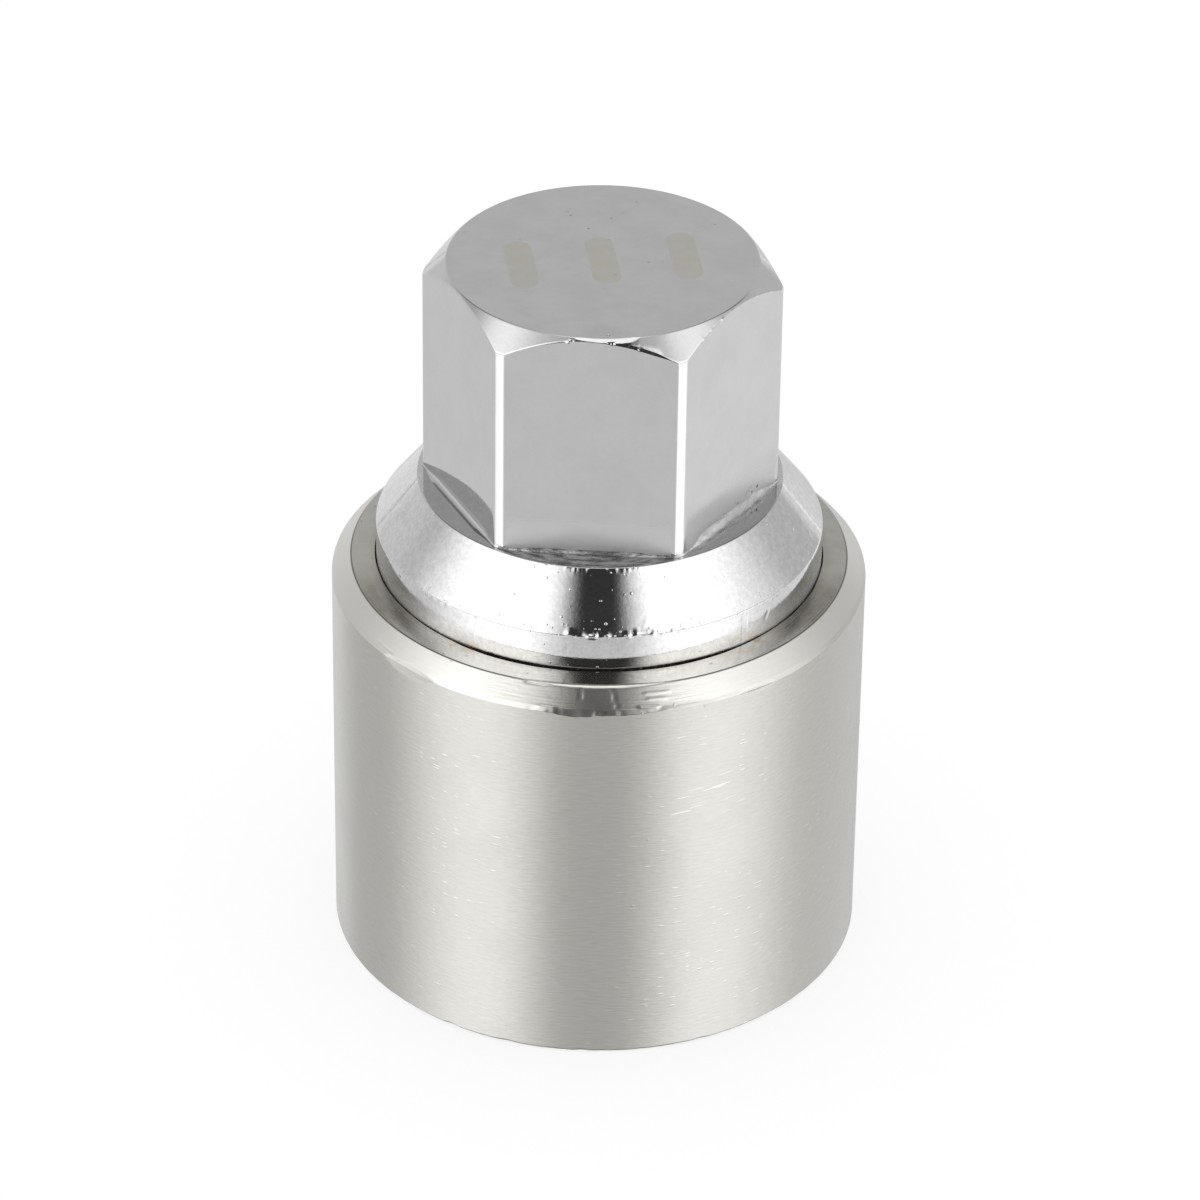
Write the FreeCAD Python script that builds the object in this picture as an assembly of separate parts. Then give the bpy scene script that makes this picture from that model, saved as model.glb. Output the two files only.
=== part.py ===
import FreeCAD, Part
import math
import os

# Wheel lock key: a chrome key body pressed into a plain outer sleeve.
# Millimetres, +Z up, origin at the centre of the sleeve's lower end, hexagon corners on the X axis.
ORIGIN = FreeCAD.Vector(0, 0, 0)
UP = FreeCAD.Vector(0, 0, 1)
SAME_LEVEL = 1e-6

# Hexagon drive head
HEX_ACROSS_FLATS = 17.0
HEAD_HEIGHT = 13.14
CORNER_CUT = 0.145
HEAD_FACE_INSET = 0.12
HEAD_CHAMFER_ANGLE = 43.0
HEAD_FOOT_RADIUS = 0.15

# Conical collar below the head
SHOULDER_LEDGE = 0.28
COLLAR_CONE_HEIGHT = 2.92
COLLAR_RIM_RADIUS = 0.20
COLLAR_BAND_HEIGHT = 2.05

# Shank pressed into the sleeve
SHANK_LENGTH = 12.0
SHANK_END_CHAMFER = 0.30

# Coded spigot: rounded lobes at uneven angles, which fit the recess of one lock pattern
SPIGOT_TIP_DIAMETER = 14.0
LOBE_HEIGHT = 1.4
LOBE_RADIUS = 1.15
LOBE_ANGLES = (0.0, 47.0, 103.0, 150.0, 208.0, 253.0, 307.0)
SPIGOT_LENGTH = 9.0
SPIGOT_ROOT_FILLET = 0.35
SPIGOT_NOSE_CHAMFER = 0.6

# Outer sleeve
SLEEVE_DIAMETER = 29.334
SLEEVE_WALL = 2.447
SLEEVE_LENGTH = 23.48
SLEEVE_TOP_FALL = 0.12
SLEEVE_TOP_CHAMFER_RADIAL = 1.05
SLEEVE_TOP_CHAMFER_HEIGHT = 1.12
SLEEVE_LEAD_IN = 0.13
SLEEVE_SEAT_WIDTH = 0.50
SLEEVE_MOUTH_CHAMFER = 0.60
SLEEVE_FOOT_BREAK = 0.20
PRESS_FIT_CLEARANCE = 0.0

# Levels and radii that follow from the sizes above
SEAT_LEVEL = SLEEVE_LENGTH - SHANK_LENGTH
RIM_LEVEL = SLEEVE_LENGTH + COLLAR_BAND_HEIGHT
SHOULDER_LEVEL = RIM_LEVEL + COLLAR_CONE_HEIGHT
HEAD_LEVEL = SHOULDER_LEVEL + HEAD_HEIGHT
NOSE_LEVEL = SEAT_LEVEL - SPIGOT_LENGTH
CORNER_RADIUS = HEX_ACROSS_FLATS / math.sqrt(3)
LAND_RADIUS = CORNER_RADIUS - CORNER_CUT
SHOULDER_RADIUS = LAND_RADIUS + SHOULDER_LEDGE
SPIGOT_RADIUS = SPIGOT_TIP_DIAMETER / 2
SLEEVE_RADIUS = SLEEVE_DIAMETER / 2
BORE_RADIUS = SLEEVE_RADIUS - SLEEVE_WALL
SHANK_RADIUS = BORE_RADIUS - PRESS_FIT_CLEARANCE
MOUTH_RADIUS = BORE_RADIUS - SLEEVE_SEAT_WIDTH


def point(radius, level):
    """A point of a profile in the XZ half plane."""
    return FreeCAD.Vector(radius, 0, level)


def polar(radius, angle):
    """A point of the cross-section plane, with the angle in degrees."""
    turn = math.radians(angle)
    return FreeCAD.Vector(radius * math.cos(turn), radius * math.sin(turn), 0)


def turned(corners):
    """A solid of revolution about Z from the corners of its half profile."""
    profile = Part.makePolygon(corners + corners[:1])
    return Part.Face(profile).revolve(ORIGIN, UP, 360)


def edges_at(solid, level, reach):
    """The edges of a solid that lie in one level, within a reach of the axis."""
    flat = []
    for edge in solid.Edges:
        box = edge.BoundBox
        off_level = max(abs(box.ZMin - level), abs(box.ZMax - level))
        far = max(math.hypot(v.X, v.Y) for v in edge.Vertexes)
        if off_level < SAME_LEVEL and far < reach:
            flat.append(edge)
    return flat


def hexagon_head():
    """The hexagon prism trimmed by the turned blank, which leaves the corner lands and the crown."""
    corners = [polar(CORNER_RADIUS, 60 * k) for k in range(6)]
    outline = Part.makePolygon(corners + corners[:1])
    outline.translate(FreeCAD.Vector(0, 0, RIM_LEVEL))
    prism = Part.Face(outline).extrude(FreeCAD.Vector(0, 0, HEAD_LEVEL - RIM_LEVEL))
    face_radius = HEX_ACROSS_FLATS / 2 - HEAD_FACE_INSET
    crown_drop = (LAND_RADIUS - face_radius) * math.tan(math.radians(HEAD_CHAMFER_ANGLE))
    blank = turned([
        point(0, RIM_LEVEL),
        point(LAND_RADIUS, RIM_LEVEL),
        point(LAND_RADIUS, HEAD_LEVEL - crown_drop),
        point(face_radius, HEAD_LEVEL),
        point(0, HEAD_LEVEL),
    ])
    return prism.common(blank)


def collar_and_shank():
    """The conical collar with its rounded rim, and the plain shank below it."""
    solid = turned([
        point(0, SEAT_LEVEL),
        point(SHANK_RADIUS - SHANK_END_CHAMFER, SEAT_LEVEL),
        point(SHANK_RADIUS, SEAT_LEVEL + SHANK_END_CHAMFER),
        point(SHANK_RADIUS, RIM_LEVEL),
        point(SHOULDER_RADIUS, SHOULDER_LEVEL),
        point(0, SHOULDER_LEVEL),
    ])
    return solid.makeFillet(COLLAR_RIM_RADIUS, edges_at(solid, RIM_LEVEL, SLEEVE_RADIUS))


def spigot_outline():
    """A closed wire of tangent arcs: a convex arc on each lobe and a hollow arc between neighbours."""
    root = SPIGOT_RADIUS - LOBE_HEIGHT
    lobe_centre = SPIGOT_RADIUS - LOBE_RADIUS
    count = len(LOBE_ANGLES)
    hollows = []
    for k in range(count):
        here = LOBE_ANGLES[k]
        step = (LOBE_ANGLES[(k + 1) % count] - here) % 360
        c = math.cos(math.radians(step / 2))
        rise = LOBE_RADIUS ** 2 - lobe_centre ** 2 - root ** 2 + 2 * lobe_centre * root * c
        hollow_radius = rise / (2 * (root - lobe_centre * c - LOBE_RADIUS))
        hollows.append((polar(root + hollow_radius, here + step / 2), polar(root, here + step / 2)))
    edges = []
    for k in range(count):
        centre = polar(lobe_centre, LOBE_ANGLES[k])
        tip = polar(SPIGOT_RADIUS, LOBE_ANGLES[k])
        joins = []
        for hollow_centre, _ in (hollows[k - 1], hollows[k]):
            toward = (hollow_centre - centre).normalize()
            joins.append(centre + toward * LOBE_RADIUS)
        next_centre = polar(lobe_centre, LOBE_ANGLES[(k + 1) % count])
        toward = (hollows[k][0] - next_centre).normalize()
        next_join = next_centre + toward * LOBE_RADIUS
        edges.append(Part.Arc(joins[0], tip, joins[1]).toShape())
        edges.append(Part.Arc(joins[1], hollows[k][1], next_join).toShape())
    return Part.Wire(edges)


def coded_spigot():
    """The lobed spigot below the shank, with a turned lead-in at its nose."""
    outline = spigot_outline()
    outline.translate(FreeCAD.Vector(0, 0, NOSE_LEVEL))
    bar = Part.Face(outline).extrude(FreeCAD.Vector(0, 0, SPIGOT_LENGTH))
    nose = turned([
        point(0, NOSE_LEVEL),
        point(SPIGOT_RADIUS - SPIGOT_NOSE_CHAMFER, NOSE_LEVEL),
        point(SPIGOT_RADIUS, NOSE_LEVEL + SPIGOT_NOSE_CHAMFER),
        point(SPIGOT_RADIUS, SEAT_LEVEL),
        point(0, SEAT_LEVEL),
    ])
    return bar.common(nose)


def key_body():
    """Head, collar, shank and coded spigot, machined as one piece."""
    body = collar_and_shank().fuse([hexagon_head(), coded_spigot()]).removeSplitter()
    body = body.makeFillet(SPIGOT_ROOT_FILLET, edges_at(body, SEAT_LEVEL, SPIGOT_RADIUS + SPIGOT_ROOT_FILLET))
    return body.makeFillet(HEAD_FOOT_RADIUS, edges_at(body, SHOULDER_LEVEL, LAND_RADIUS + SHOULDER_LEDGE / 2))


def outer_sleeve():
    """The tube with its stepped bore, broken edges and slightly falling top face."""
    lead_in_radius = BORE_RADIUS + SLEEVE_LEAD_IN
    face_radius = SLEEVE_RADIUS - SLEEVE_TOP_CHAMFER_RADIAL
    face_level = SLEEVE_LENGTH - SLEEVE_TOP_FALL
    return turned([
        point(MOUTH_RADIUS + SLEEVE_MOUTH_CHAMFER, 0),
        point(SLEEVE_RADIUS - SLEEVE_FOOT_BREAK, 0),
        point(SLEEVE_RADIUS, SLEEVE_FOOT_BREAK),
        point(SLEEVE_RADIUS, face_level - SLEEVE_TOP_CHAMFER_HEIGHT),
        point(face_radius, face_level),
        point(lead_in_radius, SLEEVE_LENGTH),
        point(BORE_RADIUS, SLEEVE_LENGTH - SLEEVE_LEAD_IN),
        point(BORE_RADIUS, SEAT_LEVEL),
        point(MOUTH_RADIUS, SEAT_LEVEL),
        point(MOUTH_RADIUS, SLEEVE_MOUTH_CHAMFER),
    ])


os.makedirs("parts", exist_ok=True)
for name, solid in (("key_body", key_body()), ("outer_sleeve", outer_sleeve())):
    solid.exportStep(f"parts/{name}.step")
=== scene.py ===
import functools
import math
import random

import bpy
import numpy as np
from mathutils import Matrix, Vector


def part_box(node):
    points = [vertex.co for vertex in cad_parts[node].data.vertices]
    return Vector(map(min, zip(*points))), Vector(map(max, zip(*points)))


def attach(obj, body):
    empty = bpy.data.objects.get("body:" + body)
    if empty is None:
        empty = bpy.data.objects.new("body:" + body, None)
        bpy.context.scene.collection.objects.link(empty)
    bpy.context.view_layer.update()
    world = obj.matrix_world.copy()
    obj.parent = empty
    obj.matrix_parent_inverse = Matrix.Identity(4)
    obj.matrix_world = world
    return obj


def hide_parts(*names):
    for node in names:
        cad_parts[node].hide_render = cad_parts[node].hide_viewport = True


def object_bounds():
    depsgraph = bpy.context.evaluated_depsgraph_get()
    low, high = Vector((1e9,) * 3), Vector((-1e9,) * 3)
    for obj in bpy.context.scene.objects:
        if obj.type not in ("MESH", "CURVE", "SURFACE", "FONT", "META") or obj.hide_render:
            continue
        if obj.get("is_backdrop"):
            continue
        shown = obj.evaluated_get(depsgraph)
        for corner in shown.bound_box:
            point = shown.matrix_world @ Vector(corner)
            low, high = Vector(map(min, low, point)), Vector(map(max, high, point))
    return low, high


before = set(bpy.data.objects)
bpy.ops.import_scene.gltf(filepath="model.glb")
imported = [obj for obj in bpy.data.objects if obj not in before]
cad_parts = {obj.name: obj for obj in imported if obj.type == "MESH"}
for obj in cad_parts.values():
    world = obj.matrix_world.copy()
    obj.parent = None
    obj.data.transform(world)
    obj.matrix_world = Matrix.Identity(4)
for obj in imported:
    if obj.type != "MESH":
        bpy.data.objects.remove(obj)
cad_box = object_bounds()

# Sizes in millimetres, as the solids have them; what the frame gives is read from it
MM = 0.001
SLEEVE_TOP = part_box("outer_sleeve")[1][2] / MM
NOSE_LEVEL, HEAD_TOP = (corner[2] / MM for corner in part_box("key_body"))
SLEEVE_RADIUS = 14.667
SHANK_RADIUS = 12.22

# Hexagon head and conical collar
HEX_APOTHEM = 8.5
HEAD_HEIGHT = 13.14
CORNER_CUT = 0.145
HEAD_FACE_INSET = 0.12
CROWN_ANGLE = 43
SHOULDER_LEDGE = 0.28
CONE_HEIGHT = 2.92
RIM_ROUNDING = 0.2
LAND_RADIUS = 2 * HEX_APOTHEM / math.sqrt(3) - CORNER_CUT
FACE_RADIUS = HEX_APOTHEM - HEAD_FACE_INSET
CROWN_SLOPE = math.tan(math.radians(CROWN_ANGLE))
SHOULDER_LEVEL = HEAD_TOP - HEAD_HEIGHT
SHOULDER_RADIUS = LAND_RADIUS + SHOULDER_LEDGE
RIM_LEVEL = SHOULDER_LEVEL - CONE_HEIGHT

# Foot fillets of the six flats, by the azimuth of the flat's middle, worn wider on one side
FOOT_FILLETS = {30: 0.22, 90: 0.18, 150: 0.24, 210: 0.36, 270: 0.2, 330: 0.5}
LAND_FILLET = 0.12

# Turns between which the plate round the head's foot is torn or rubbed, and the height of the fine rows there
TORN_FOOT = (-33.8, 86.2)
TORN_HEIGHT = 0.55

# Shank and coded spigot
SHANK_LENGTH = 12.0
SHANK_END_CHAMFER = 0.3
SEAT_LEVEL = SLEEVE_TOP - SHANK_LENGTH
SPIGOT_RADIUS = 7.0
SPIGOT_ROOT_FILLET = 0.35
LOBE_RADIUS = 1.15
LOBE_HEIGHT = 1.4
LOBE_ANGLES = (0.0, 47.0, 103.0, 150.0, 208.0, 253.0, 307.0)
NOSE_CHAMFER = 0.6

# Outer sleeve
TOP_FALL = 0.12
CHAMFER_WIDTH = 1.05
CHAMFER_HEIGHT = 1.12
FACE_LEVEL = SLEEVE_TOP - TOP_FALL
FACE_EDGE = SLEEVE_RADIUS - CHAMFER_WIDTH
CHAMFER_LEVEL = FACE_LEVEL - CHAMFER_HEIGHT
SEAT_WIDTH = 0.5
MOUTH_RADIUS = SHANK_RADIUS - SEAT_WIDTH
MOUTH_CHAMFER = 0.6
FOOT_BREAK = 0.2

# The burr along the sleeve's upper edge: width, turns over which it is torn, and where it sags
BURR_WIDTH = 0.18
TORN_BURR_REACH = 14
SAG_DEPTH = 0.16
SAG_TURN = -4
SAG_REACH = 5

# The open joint round the collar, wider at the front
JOINT_GAP = 0.055
FRONT_GAP = 0.17
FRONT_GAP_REACH = 40
JOINT_DEPTH = 0.8

# Levels between which the sleeve's side is rubbed
RUBBED_PATCH = (14.6, 15.4, 17.2, 18.0)

# Marks by turn from the front in degrees: where each starts, is full, starts to fade and ends
RUBBED_TURNS = (13, 18, 30, 35)
LEFT_DASH_TURNS = (-44, -34, -20, -10)
RIGHT_DASH_TURNS = (6, 16, 34, 48)
EDGE_SPECK_TURNS = (-24, -18, 18, 24)
FRONT_SPECK_TURNS = (-12, -8, 8, 12)
LEFT_SPILL_TURNS = (-47, -41, -36, -30)
RIGHT_SPILL_TURNS = (31, 36, 43, 49)
TARNISH_TURNS = (44, 56, 68, 84)
RIM_LINE_TURNS = (13, 20, 95, 120)
RIM_FLECK_TURNS = (26, 36, 60, 70)

# Marks on the sleeve's top by distance from the edge of its face, in the same way
RIM_LINE_REACH = (-0.07, -0.03, 0.01, 0.05)
RIM_FLECK_REACH = (-0.4, -0.2, 0, 0.08)

# The photograph's camera, fitted to the hexagon and the circles
VIEW_AZIMUTH = 3.79
VIEW_ELEVATION = 32.404
VIEW_ROLL = 0.793
VIEW_DISTANCE = 341.74
VIEW_TARGET = (0.093, 0.0, 20.137)
FOCAL_PIXELS = 6194.18
FRAME_PIXELS = 1200
SENSOR = 36.0
CLIP_RANGE = (0.01, 10.0)

# Azimuth of the side that faces the camera; marks are placed by their turn from it, to the right
FRONT = VIEW_AZIMUTH - 90

# Scratches on the collar: turn and level of both ends, width and depth.
# Where the depth is negative the mark is raised.
COLLAR_SCRATCHES = [
    (13.3, 26.4, 11.5, 25.75, 0.04, -0.008),
    (9.4, 25.58, 12.2, 25.66, 0.07, -0.025),
    (19.7, 25.55, 21.0, 24.45, 0.06, 0.015),
    (39.3, 25.4, 39.5, 23.7, 0.045, 0.02),
    (40.3, 25.35, 40.5, 23.9, 0.045, 0.02),
    (41.5, 24.5, 46.2, 23.75, 0.05, 0.02),
    (48.2, 24.75, 47.2, 24.35, 0.05, 0.03),
]

# Scratches and burrs on the sleeve's chamfer, and gouges above the head's foot, written in the same way
CHAMFER_SCRATCHES = [
    (9.0, 22.48, 13.0, 22.44, 0.06, -0.03),
    (10.5, 23.0, 16.0, 22.98, 0.045, -0.02),
    (11.0, 22.78, 15.0, 22.74, 0.045, -0.02),
    (3.4, 23.2, 4.2, 22.5, 0.05, 0.02),
    (-3.8, 23.25, -3.5, 22.85, 0.05, 0.018),
    (-12.5, 22.42, -9.0, 22.4, 0.06, -0.025),
    (-16.0, 23.3, -11.0, 23.28, 0.05, 0.03),
    (-55.0, 22.55, -50.0, 22.5, 0.05, 0.015),
]
FOOT_GOUGES = [
    (36.0, 28.95, 60.0, 29.0, 0.09, 0.012),
    (67.0, 29.15, 69.0, 29.3, 0.05, 0.06),
    (69.0, 29.3, 72.5, 29.25, 0.05, 0.06),
]

# Turns and heights above the shoulder between which the right flat's foot is pitted
PITTED_FOOT = (34.0, 78.0)
PITTED_EASE = 4
PITTED_RISE = (0.45, 0.55, 0.75, 0.95)

# Heights above the shoulder over which the flats' dull foot fades, and the band round the shoulder's ledge
# that painted shade darkens on the side
DULL_RISE = (1.2, 3.4)
LEDGE_RISE = (-0.05, -0.02, 0.02, 0.05)

# How far from a corner of the hexagon, in degrees, the dull foot starts and is full
LAND_CLEAR = 1.8
LAND_FULL = 3.3

# Heights above the sleeve over which the collar's rubbed low band fades
LOW_BAND_RISE = (0.4, 1.7)

# Nicks and beads along the crown's front edge: turn, width and depth
CROWN_NICKS = [
    (-11.6, 0.09, -0.06),
    (-9.6, 0.06, -0.04),
    (2.5, 0.07, 0.05),
    (3.8, 0.09, 0.07),
    (5.0, 0.05, -0.04),
    (9.5, 0.06, 0.04),
    (13.0, 0.07, 0.05),
    (17.5, 0.05, 0.04),
]

# Flats knocked into the sleeve's upper edge and the head's crown.
# Each has its turn, the turn that the flat faces, its tilt in degrees and its depth.
SLEEVE_KNOCKS = [
    (-43.6, -43.6, 18, 0.13),
    (36.0, 36.0, 22, 0.05),
    (118.0, 118.0, 24, 0.07),
    (-150.0, -150.0, 20, 0.1),
]
CROWN_KNOCKS = [
    (2.0, 2.0, 60, 0.045),
    (6.0, 0.6, 26, 0.05),
    (14.0, 4.3, 26, 0.055),
]

# Chips along the sleeve's lower edge: turn, reach to both sides and size
FOOT_CHIPS = [
    (-32.0, 1.6, 0.06),
    (-19.0, 1.8, 0.05),
    (-2.0, 1.4, 0.05),
    (24.0, 1.2, 0.04),
    (95.0, 2.0, 0.06),
    (-140.0, 1.8, 0.06),
]

# Random small marks on the key: how many of each
RIM_BEADS = 20
COLLAR_NICKS = 22
SHOULDER_BEADS = 18
CROWN_BEADS = 12
LEFT_BEADS = 6

# Depth of the materials' fine relief, in millimetres
CHROME_RELIEF = 0.018
WORN_RELIEF = 0.03
FACE_RELIEF = 0.01
SATIN_RELIEF = 0.01
TURNED_RELIEF = 0.006
JOINT_SHADE_RELIEF = 0.04

# Plain etched bars on the head's top face, with their turn in degrees
BAR_SPACING = 4.4
BAR_WIDTH = 1.5
BAR_LENGTH = 5.0
BAR_BLUR = 0.1
BAR_TURN = -11.6

# Colours
ETCHED = (0.64, 0.62, 0.555, 1)
SATIN_DARK = (0.522, 0.513, 0.482, 1)
SATIN_LIGHT = (0.56, 0.548, 0.517, 1)
# Painted glint: the near-white that the satin side's scratches are lightened towards
SCRATCH_GLINT = (0.92, 0.91, 0.89, 1)
TURNED_NICKEL = (0.74, 0.725, 0.69, 1)
STAINED = (0.58, 0.46, 0.28, 1)
TARNISHED = (0.315, 0.29, 0.245, 1)
# Dark dirt, and also the painted shade next to the joint
DIRT_AND_SHADE = (0.1, 0.09, 0.075, 1)
TICK = (0.12, 0.11, 0.1, 1)
FLECK = (0.95, 0.94, 0.9, 1)
# Painted shade for the walls of the joint between collar and sleeve
JOINT_SHADE_DARK = (0.035, 0.031, 0.026, 1)
JOINT_SHADE_LIGHT = (0.15, 0.13, 0.1, 1)
WHITE = (1, 1, 1, 1)

# Floor: radius in metres, grey of its matt surface, and the glow that lifts it to white
FLOOR_RADIUS = 0.34
FLOOR_SIDES = 96
FLOOR_GREY = (0.3, 0.3, 0.3, 1)
FLOOR_GLOW = 0.73

# Brightness of the painted studio
WALL_LEVEL = 0.58
BOX_LEVEL = 1.65
TOP_LEVEL = 0.7
GAP_DARKNESS = 0.93
TABLE_LEVEL = 0.68
TABLE_SHEEN = 0.87

# Parts of the studio by turn or height in degrees: where each starts, is full, starts to fade and ends
RIGHT_BOX_TURNS = (-10, 0, 55, 118)
RIGHT_BOX_HEIGHTS = (8, 20, 43, 64)
LEFT_BOX_TURNS = (-113, -70, 0, 10)
LEFT_BOX_HEIGHTS = (8, 20, 40, 62)
GAP_HEIGHTS = (2, 10, 66, 76)
LEFT_WALL_HEIGHTS = (-10, 0, 5, 20)
SIDE_WALL_TURNS = (90, 105, 125, 150)
SIDE_WALL_HEIGHTS = (18, 28, 45, 60)
BACK_CORNER_TURNS = (118, 132, 158, 172)
BACK_CORNER_HEIGHTS = (33, 40, 55, 65)
CONTACT_HEIGHTS = (-68, -60, -54, -44)
FAR_LEFT_TURNS = (-177, -164, -146, -130)
FAR_STRIP_TURNS = (122, 129, 141, 147)
FAR_STRIP_HEIGHTS = (-26, -22, -16, -12)
TABLE_EDGE_HEIGHTS = (-4.7, -4.4, -4.0, -3.7)


def turn_angles():
    """Azimuths of the mesh columns, gathered close on both sides of every edge of the hexagon."""
    edge_steps = (-0.12, -0.06, -0.03, 0, 0.03, 0.06, 0.12, 0.25)
    land_step, flat_columns = 0.45, 112
    edge = 30 - math.degrees(math.acos(HEX_APOTHEM / LAND_RADIUS))
    near = [math.degrees(step / LAND_RADIUS) for step in edge_steps]
    land = [0.0, land_step] + [edge + step for step in near]
    last = land[-1]
    flat = list(np.linspace(last, 60 - last, flat_columns))[1:-1]
    sector = land + flat + [60 - a for a in reversed(land[1:])]
    return np.radians([60 * k + a for k in range(6) for a in sector])


ANGLES = turn_angles()
TURNS = (np.degrees(ANGLES) - FRONT + 180) % 360 - 180


def head_radius():
    """Radius of the hexagon at each column, with its corners turned down to the lands."""
    from_flat = (ANGLES + math.pi / 6) % (math.pi / 3) - math.pi / 6
    flats = HEX_APOTHEM / np.cos(np.abs(from_flat) - math.pi / 6)
    softness, middle = 0.02, 8
    joined = np.exp((middle - flats) / softness) + np.exp((middle - LAND_RADIUS) / softness)
    return middle - softness * np.log(joined)


def foot_fillet():
    """Fillet between the flats and the shoulder at each column, narrowing towards the lands."""
    fillet_end, ease = 26, 10
    degrees = np.degrees(ANGLES)
    middles = np.floor(degrees / 60) * 60 + 30
    widest = np.select([middles == m for m in FOOT_FILLETS], list(FOOT_FILLETS.values()))
    inward = np.clip((fillet_end - np.abs(degrees - middles)) / ease, 0, 1)
    return LAND_FILLET + (widest - LAND_FILLET) * inward * inward * (3 - 2 * inward)


def spigot_radius():
    """Radius of the lobed spigot at each column: convex arcs on the lobes, hollow arcs between them."""
    root = SPIGOT_RADIUS - LOBE_HEIGHT
    centre = SPIGOT_RADIUS - LOBE_RADIUS
    radius = np.zeros_like(ANGLES)
    turned = np.degrees(ANGLES) % 360
    for here, after in zip(LOBE_ANGLES, LOBE_ANGLES[1:] + (LOBE_ANGLES[0] + 360,)):
        half = math.radians(after - here) / 2
        c = math.cos(half)
        rise = LOBE_RADIUS ** 2 - centre ** 2 - root ** 2 + 2 * centre * root * c
        hollow = rise / (2 * (root - centre * c - LOBE_RADIUS))
        far = root + hollow
        span = (turned - here) % 360 <= after - here
        off = np.abs(np.radians((turned - here) % 360) - half)
        from_lobe = half - off
        crest = np.sqrt(np.maximum(LOBE_RADIUS ** 2 - (centre * np.sin(from_lobe)) ** 2, 0))
        lobe = centre * np.cos(from_lobe) + crest
        valley = far * np.cos(off) - np.sqrt(np.maximum(hollow ** 2 - (far * np.sin(off)) ** 2, 0))
        join = math.atan2(far * math.sin(half), far * math.cos(half) - centre)
        lobe_end = math.atan2(LOBE_RADIUS * math.sin(join), centre + LOBE_RADIUS * math.cos(join))
        radius = np.where(span, np.where(from_lobe < lobe_end, lobe, valley), radius)
    return radius


def wander(seed, knots, reach):
    """A line that wanders up and down around the circle, through random heights at even steps."""
    chance = random.Random(seed)
    heights = [chance.uniform(-reach, reach) for _ in range(knots)]
    return np.interp(TURNS, np.linspace(-180, 180, knots + 1), heights + heights[:1])


def collar_point(turn, level):
    """A point on the collar's band or cone."""
    angle = math.radians(FRONT + turn)
    up_cone = max(level - RIM_LEVEL, 0) / (SHOULDER_LEVEL - RIM_LEVEL)
    radius = SHANK_RADIUS + (SHOULDER_RADIUS - SHANK_RADIUS) * up_cone
    return np.array([radius * math.cos(angle), radius * math.sin(angle), level])


def chamfer_point(turn, level):
    """A point on the sleeve's upper chamfer."""
    angle = math.radians(FRONT + turn)
    radius = FACE_EDGE + (SLEEVE_RADIUS - FACE_EDGE) * (FACE_LEVEL - level) / (FACE_LEVEL - CHAMFER_LEVEL)
    return np.array([radius * math.cos(angle), radius * math.sin(angle), level])


def flat_point(turn, level):
    """A point on one of the head's flats."""
    angle = math.radians(FRONT + turn)
    from_middle = angle % (math.pi / 3) - math.pi / 6
    radius = HEX_APOTHEM / math.cos(from_middle)
    return np.array([radius * math.cos(angle), radius * math.sin(angle), level])


def crown_point(turn):
    """A point on the edge between the head's crown and its flats."""
    on_flat = flat_point(turn, 0)
    return on_flat + np.array([0, 0, HEAD_TOP - (math.hypot(*on_flat[:2]) - FACE_RADIUS) * CROWN_SLOPE])


def between(point_on, marks):
    """Scratches between points of one surface."""
    return [(point_on(*mark[0:2]), point_on(*mark[2:4]), mark[4], mark[5]) for mark in marks]


def profile_rows(corners, closed=False):
    """Rows of (radius, level) for all columns, from rounded corners joined by straight stretches.

    A corner is (radius, level, rounding, arc steps, rows to the next corner).
    Without arc steps it is a plain point."""
    support, widest_margin = 0.035, 0.2
    count = len(corners)
    places = [np.stack(np.broadcast_arrays(c[0] + 0 * ANGLES, c[1] + 0 * ANGLES), -1) for c in corners]

    def unit(v):
        return v / np.maximum(np.linalg.norm(v, axis=-1, keepdims=True), 1e-9)

    arcs = []
    for i, (_, _, rounding, steps, _) in enumerate(corners):
        here = places[i]
        if not steps:
            arcs.append([here])
            continue
        rounding = np.broadcast_to(rounding, ANGLES.shape)[:, None]
        into = unit(here - places[i - 1])
        out = unit(places[(i + 1) % count] - here)
        theta = np.arccos(np.clip((into * out).sum(-1, keepdims=True), -1, 1))
        reach = rounding * np.tan(theta / 2)
        start, end = here - reach * into, here + reach * out
        centre = here + unit(out - into) * rounding / np.cos(theta / 2)
        arc = []
        for step in range(steps + 1):
            f = step / steps
            first = np.sin((1 - f) * theta) / np.sin(theta)
            second = np.sin(f * theta) / np.sin(theta)
            arc.append(centre + first * (start - centre) + second * (end - centre))
        arcs.append(arc)
    rows, where = [], []
    for i in range(count if closed else count - 1):
        rows += arcs[i]
        where += [i] * len(arcs[i])
        start, end = arcs[i][-1], arcs[(i + 1) % count][0]
        length = np.maximum(np.linalg.norm(end - start, axis=-1, keepdims=True), 1e-6)
        margin = np.minimum(support / length, widest_margin)
        steps = corners[i][4]
        for f in np.linspace(0, 1, steps) if steps > 1 else [0.5] * steps:
            rows.append(start + (end - start) * (margin + (1 - 2 * margin) * f))
            where.append(i + 0.5)
    if not closed:
        rows += arcs[-1]
        where += [count - 1]
    return np.array(rows), where


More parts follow.
